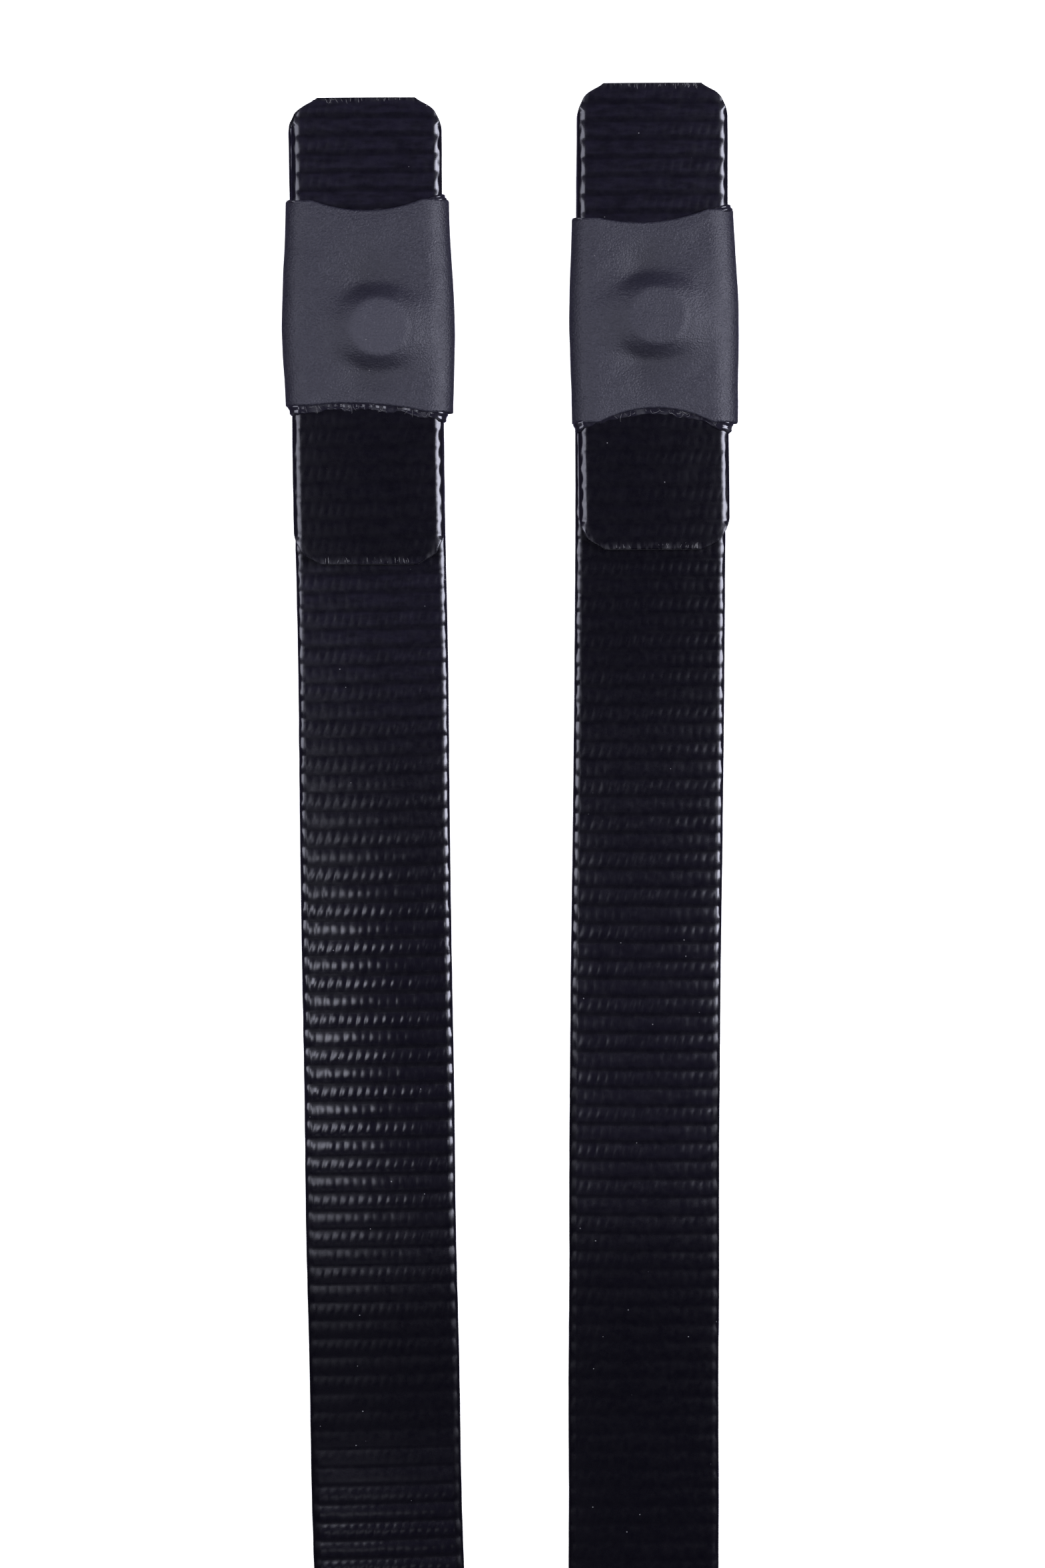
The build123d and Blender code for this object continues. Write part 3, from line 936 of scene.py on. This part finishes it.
def mix_color(nodes, links, share, first, second):
    """Mix of two colours, each a tuple or an output."""
    mix = node(nodes, "ShaderNodeMix", data_type="RGBA")
    links.new(share, mix.inputs["Factor"])
    for name, color in (("A", first), ("B", second)):
        socket = [item for item in mix.inputs if item.name == name and item.type == "RGBA"][0]
        if isinstance(color, tuple):
            socket.default_value = (*color, 1)
        else:
            links.new(color, socket)
    return [item for item in mix.outputs if item.type == "RGBA"][0]


def object_space(nodes):
    return nodes.new("ShaderNodeTexCoord").outputs["Object"]


def speckle(nodes, links, vector, scale, size):
    """A share that is 1 inside small scattered specks of dust."""
    cells = nodes.new("ShaderNodeTexVoronoi")
    cells.inputs["Scale"].default_value = scale
    links.new(vector, cells.inputs["Vector"])
    return remap(nodes, links, cells.outputs["Distance"], size * 0.7, size, 1.0, 0.0)


def coating_material():
    """Black coating over webbing: glossy where polished, with faint yarn lines, dust and fine scuffs carrying a
    painted sheen.
    """
    material, nodes, links, shader = new_material("coating")
    place = object_space(nodes)
    cloudy = noise(nodes, links, place, 180, 3.0)
    tint = mix_color(nodes, links, cloudy, (0.0009, 0.0008, 0.0018), (0.0016, 0.0014, 0.0028))
    near_cut = node(nodes, "ShaderNodeAttribute", attribute_name="dusty").outputs["Fac"]
    fibres = noise(nodes, links, place, 1500, 3.0, stretch=(1.0, 0.3, 1.0))
    powder = node(nodes, "ShaderNodeMath", operation="MULTIPLY")
    links.new(near_cut, powder.inputs[0])
    links.new(remap(nodes, links, fibres, 0.42, 0.72, 0.0, 0.8), powder.inputs[1])
    tint = mix_color(nodes, links, powder.outputs[0], tint, (0.03, 0.03, 0.034))
    # Fine scuffs carrying a painted sheen: a lighter tint where the per-point sheen share is high.
    scratches = noise(nodes, links, place, 700, 6.0, stretch=(0.5, 1.5, 1.0))
    scuffs_and_painted_sheen_share = node(nodes, "ShaderNodeAttribute", attribute_name="scuffs_and_painted_sheen_share").outputs["Fac"]
    scuffs_and_painted_sheen = node(nodes, "ShaderNodeMath", operation="MULTIPLY")
    links.new(scuffs_and_painted_sheen_share, scuffs_and_painted_sheen.inputs[0])
    links.new(remap(nodes, links, scratches, 0.35, 0.75, 0.35, 1.1), scuffs_and_painted_sheen.inputs[1])
    tint = mix_color(nodes, links, scuffs_and_painted_sheen.outputs[0], tint, (0.0056, 0.0048, 0.0098))
    dust = speckle(nodes, links, place, 330, 0.035)
    links.new(mix_color(nodes, links, dust, tint, (0.12, 0.12, 0.13)), shader.inputs["Base Color"])
    scuff = noise(nodes, links, place, 900, 4.0)
    gloss = remap(nodes, links, scuff, 0.3, 0.75, 0.13, 0.2)
    dull = node(nodes, "ShaderNodeAttribute", attribute_name="dull").outputs["Fac"]
    rubbed = remap(nodes, links, scuff, 0.3, 0.75, 0.1, 0.18)
    rougher = node(nodes, "ShaderNodeMath", operation="MULTIPLY_ADD")
    for socket, value in zip(rougher.inputs, (dull, rubbed, gloss)):
        links.new(value, socket)
    links.new(rougher.outputs[0], shader.inputs["Roughness"])
    sheen = remap(nodes, links, dull, 0.0, 1.0, 0.5, 0.09)
    links.new(sheen, shader.inputs["Specular IOR Level"])
    yarn = noise(nodes, links, place, 2300, 2.0, stretch=(1.0, 0.25, 1.0))
    grain = noise(nodes, links, place, 5200, 2.0)
    normal = bump(nodes, links, yarn, 0.012, 0.3)
    normal = bump(nodes, links, grain, 0.006, 0.2, normal)
    links.new(normal, shader.inputs["Normal"])
    return material


def core_material():
    """Tightly woven black yarn, seen at the cut ends."""
    material, nodes, links, shader = new_material("webbing_core")
    place = object_space(nodes)
    yarn = noise(nodes, links, place, 2400, 3.0, stretch=(1.0, 1.0, 0.3))
    color = mix_color(nodes, links, yarn, (0.004, 0.004, 0.006), (0.022, 0.022, 0.026))
    links.new(color, shader.inputs["Base Color"])
    shader.inputs["Roughness"].default_value = 0.8
    links.new(bump(nodes, links, yarn, 0.15, 0.8), shader.inputs["Normal"])
    return material


def sleeve_material():
    """Matte shrink tube with a fine grain: paler over the post's head, with painted shade in the hollows beside
    it.
    """
    material, nodes, links, shader = new_material("heat_shrink")
    place = object_space(nodes)
    mottle = noise(nodes, links, place, 260, 4.0)
    grain = noise(nodes, links, place, 3300, 2.0)
    tint = mix_color(nodes, links, mottle, (0.0041, 0.0039, 0.0084), (0.0062, 0.0059, 0.0117))
    pebbles = remap(nodes, links, grain, 0.4, 0.75, 0.0, 0.8)
    tint = mix_color(nodes, links, pebbles, tint, (0.018, 0.0176, 0.027))
    paler_over_head = node(nodes, "ShaderNodeAttribute", attribute_name="paler_over_head").outputs["Fac"]
    paler = remap(nodes, links, paler_over_head, 0.0, 1.0, 0.0, 0.32)
    tint = mix_color(nodes, links, paler, tint, (0.03, 0.0295, 0.042))
    # Painted shade in the hollows beside the post's head.
    painted_hollow_shade = node(nodes, "ShaderNodeAttribute", attribute_name="painted_hollow_shade").outputs["Fac"]
    darker = remap(nodes, links, painted_hollow_shade, 0.0, 1.0, 0.0, 0.5)
    tint = mix_color(nodes, links, darker, tint, (0.0012, 0.0011, 0.003))
    dust = speckle(nodes, links, place, 260, 0.02)
    links.new(mix_color(nodes, links, dust, tint, (0.16, 0.16, 0.17)), shader.inputs["Base Color"])
    links.new(remap(nodes, links, mottle, 0.3, 0.7, 0.46, 0.53), shader.inputs["Roughness"])
    links.new(bump(nodes, links, grain, 0.12, 1.0), shader.inputs["Normal"])
    return material


def glue_material():
    """Dried hot-melt glue: glossy, dark over the strap, a little milky where thick."""
    material, nodes, links, shader = new_material("hot_melt")
    place = object_space(nodes)
    milky = noise(nodes, links, place, 700, 3.0)
    share = remap(nodes, links, milky, 0.5, 0.8, 0.0, 1.0)
    color = mix_color(nodes, links, share, (0.006, 0.0056, 0.009), (0.03, 0.03, 0.034))
    links.new(color, shader.inputs["Base Color"])
    shader.inputs["Roughness"].default_value = 0.1
    links.new(bump(nodes, links, milky, 0.08, 0.4), shader.inputs["Normal"])
    return material


def lint_material():
    material, nodes, links, shader = new_material("lint")
    fade = noise(nodes, links, object_space(nodes), 1500, 1.0)
    color = mix_color(nodes, links, fade, (0.03, 0.03, 0.034), (0.2, 0.2, 0.21))
    links.new(color, shader.inputs["Base Color"])
    shader.inputs["Roughness"].default_value = 0.6
    return material


def post_material():
    """Nickel plate with turning marks."""
    material, nodes, links, shader = new_material("nickel")
    rings = noise(nodes, links, object_space(nodes), 4000, 2.0)
    shader.inputs["Base Color"].default_value = (0.55, 0.54, 0.52, 1)
    shader.inputs["Metallic"].default_value = 1.0
    links.new(remap(nodes, links, rings, 0.3, 0.7, 0.25, 0.4), shader.inputs["Roughness"])
    links.new(bump(nodes, links, rings, 0.01, 0.3), shader.inputs["Normal"])
    return material


# ---------------------------------------------------------------- build

coating, core = coating_material(), core_material()
sleeve_look, glue_look = sleeve_material(), glue_material()
lint_look, post_look = lint_material(), post_material()

for number, side in enumerate(SIDES):
    make_strap(side, 100 + 50 * number, [coating, core])
    tab = make_tab(side, 300 + 50 * number, [coating, core])
    make_sleeve(side, tab, 500 + 10 * number, sleeve_look)
    make_glue(side, tab, "low", 600 + 10 * number, glue_look)
    make_glue(side, tab, "top", 640 + 10 * number, glue_look)
    make_lint(side, tab, 700 + number, lint_look)
    make_fuzz(side, tab, "upper", 34 + 14 * number, 720 + number, lint_look)
    make_fuzz(side, tab, "lower", 44, 740 + number, lint_look)
    for part in ("binding_post", "binding_screw"):
        mesh = frame["nodes"][f"{side}_{part}"].data
        mesh.materials.clear()
        mesh.materials.append(post_look)


# ---------------------------------------------------------------- studio

CAMERA_HEIGHT_M = 0.9
SEEN_LENGTH = 260.2
TOP_LEVEL = 4.5
VIEW_X = 2.0
VIEW_Y = 35.15
SENSOR = 36.0
FLOOR_M = 24.0
DOME_M = 9.0
COOL = (0.93, 0.94, 1.12)


def make_camera():
    data = bpy.data.cameras.new("camera")
    data.sensor_width = SENSOR
    data.lens = SENSOR * (CAMERA_HEIGHT_M / MM - TOP_LEVEL) / SEEN_LENGTH
    camera = bpy.data.objects.new("camera", data)
    camera.location = (VIEW_X * MM, VIEW_Y * MM, CAMERA_HEIGHT_M)
    bpy.context.scene.collection.objects.link(camera)
    bpy.context.scene.camera = camera


def softbox(name, place, target, size, radiance):
    """A rectangular light; size is its extent along the straps, then across that."""
    data = bpy.data.lights.new(name, "AREA")
    data.shape = "RECTANGLE"
    data.size, data.size_y = size
    data.energy = radiance * math.pi * size[0] * size[1]
    data.color = COOL
    light = bpy.data.objects.new(name, data)
    light.location = place
    aim = Vector(target) - Vector(place)
    light.rotation_euler = aim.to_track_quat("-Z", "Y").to_euler()
    light.visible_camera = False
    bpy.context.scene.collection.objects.link(light)


def glow_material(name, albedo, glow):
    material, _, _, shader = new_material(name)
    shader.inputs["Base Color"].default_value = (albedo, albedo, albedo, 1)
    shader.inputs["Roughness"].default_value = 0.9
    shader.inputs["Emission Color"].default_value = (1, 1, 1, 1)
    shader.inputs["Emission Strength"].default_value = glow
    return material


def glow_card(name, place, size, radiance):
    """A level card that only reflections see, bright in its middle, fading to its rim."""
    bpy.ops.mesh.primitive_plane_add(size=1.0, location=place)
    card = bpy.context.object
    card.name = name
    card.scale = (*size, 1)
    material, nodes, links, shader = new_material(name)
    from_middle = node(nodes, "ShaderNodeVectorMath", operation="LENGTH")
    links.new(object_space(nodes), from_middle.inputs[0])
    fade = remap(nodes, links, from_middle.outputs["Value"], 0.15, 0.5, radiance, 0.0)
    shader.inputs["Base Color"].default_value = (0, 0, 0, 1)
    shader.inputs["Specular IOR Level"].default_value = 0.0
    shader.inputs["Emission Color"].default_value = (*COOL, 1)
    links.new(fade, shader.inputs["Emission Strength"])
    card.data.materials.append(material)
    card.visible_camera = False
    card.visible_diffuse = False
    card.visible_transmission = False
    card.visible_shadow = False


def make_sky():
    """What reflections see beyond the cards: dark low down the page, bluish at its top."""
    world = bpy.data.worlds.new("studio")
    world.use_nodes = True
    nodes, links = world.node_tree.nodes, world.node_tree.links
    heading = node(nodes, "ShaderNodeSeparateXYZ")
    links.new(nodes.new("ShaderNodeTexCoord").outputs["Generated"], heading.inputs["Vector"])
    share = remap(nodes, links, heading.outputs["Y"], -0.5, 0.5, 0.0, 1.0)
    color = mix_color(nodes, links, share, (0.04, 0.036, 0.075), (0.13, 0.112, 0.23))
    links.new(color, nodes["Background"].inputs["Color"])
    bpy.context.scene.world = world


def make_studio():
    bpy.ops.mesh.primitive_plane_add(size=FLOOR_M, location=(0, 0, -0.0001))
    floor = bpy.context.object
    floor.name = "floor"
    floor.data.materials.append(glow_material("floor_white", 0.8, 0.75))
    bpy.ops.mesh.primitive_uv_sphere_add(radius=DOME_M, segments=48, ring_count=24)
    dome = bpy.context.object
    dome.name = "dome"
    dome.data.materials.append(glow_material("dome_white", 0.0, 1.0))
    for thing in (floor, dome):
        thing.visible_glossy = False
    make_sky()
    softbox("softbox_left", (-0.64, 0.14, 0.58), (0, 0, 0), (0.3, 0.34), 5.0)
    softbox("softbox_right", (0.64, 0.13, 0.58), (0, 0, 0), (0.3, 0.4), 15.5)
    softbox("key_left", (-0.36, 0.11, 0.7), (0, 0.1, 0), (0.24, 0.26), 6.0)
    softbox("key_right", (0.36, 0.11, 0.7), (0, 0.1, 0), (0.2, 0.24), 9.5)
    glow_card("card_left", (-0.081, -0.015, 0.3), (0.06, 0.13), 6.2)
    glow_card("card_low", (-0.05, -0.152, 0.3), (0.14, 0.05), 0.9)
    bpy.context.scene.view_settings.view_transform = "Standard"


make_camera()
make_studio()
